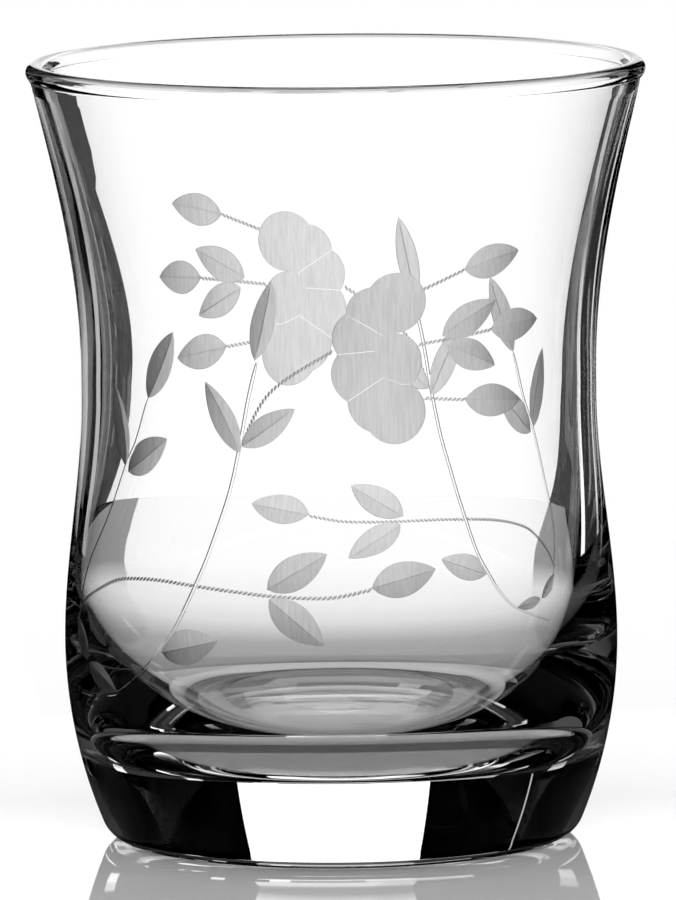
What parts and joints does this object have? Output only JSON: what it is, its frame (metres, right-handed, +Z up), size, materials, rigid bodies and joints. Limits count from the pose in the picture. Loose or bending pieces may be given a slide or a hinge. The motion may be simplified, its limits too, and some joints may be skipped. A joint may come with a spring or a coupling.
{
  "type": "tumbler glass",
  "caption": "Waisted clear glass tumbler with a flared beaded rim, a heavy solid base and wheel-cut flower and leaf sprays; holds a drink.",
  "frame": {"origin": "centre of the standing ring, in the plane that the glass stands on", "axes": "+Z up along the axis of the glass, -Y towards the side that faces the camera in the picture"},
  "size_m": [0.08, 0.08, 0.101],
  "materials": {
    "clear_glass": "polished"
  },
  "bodies": {
    "root": {"glass_body": "clear_glass"}
  },
  "joints": []
}
